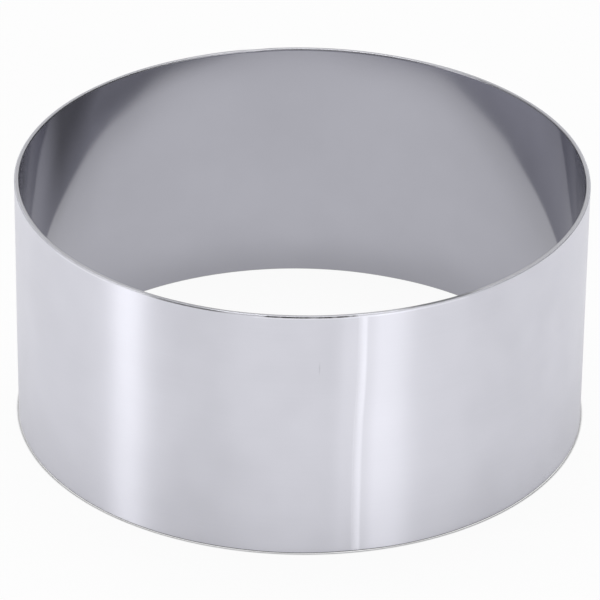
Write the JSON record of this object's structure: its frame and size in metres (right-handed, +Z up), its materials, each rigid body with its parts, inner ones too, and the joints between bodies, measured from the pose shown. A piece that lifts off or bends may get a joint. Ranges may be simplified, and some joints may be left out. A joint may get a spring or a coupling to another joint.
{
  "type": "mousse ring",
  "caption": "Open round mould wall for set desserts: a band of bright stainless sheet rolled into a circle and closed by an upright butt weld, with deburred edges.",
  "frame": {"origin": "on the ring's axis, in the plane of its lower edge", "axes": "+Z up along the ring's axis, -Y out through the weld"},
  "size_m": [0.098, 0.0981, 0.045],
  "materials": {
    "band_steel": "bright rolled stainless, fine lines along the strip",
    "weld_steel": "dressed weld bead, paler than the strip"
  },
  "bodies": {
    "root": {"ring_band": "band_steel", "weld_seam": "weld_steel"}
  },
  "joints": []
}
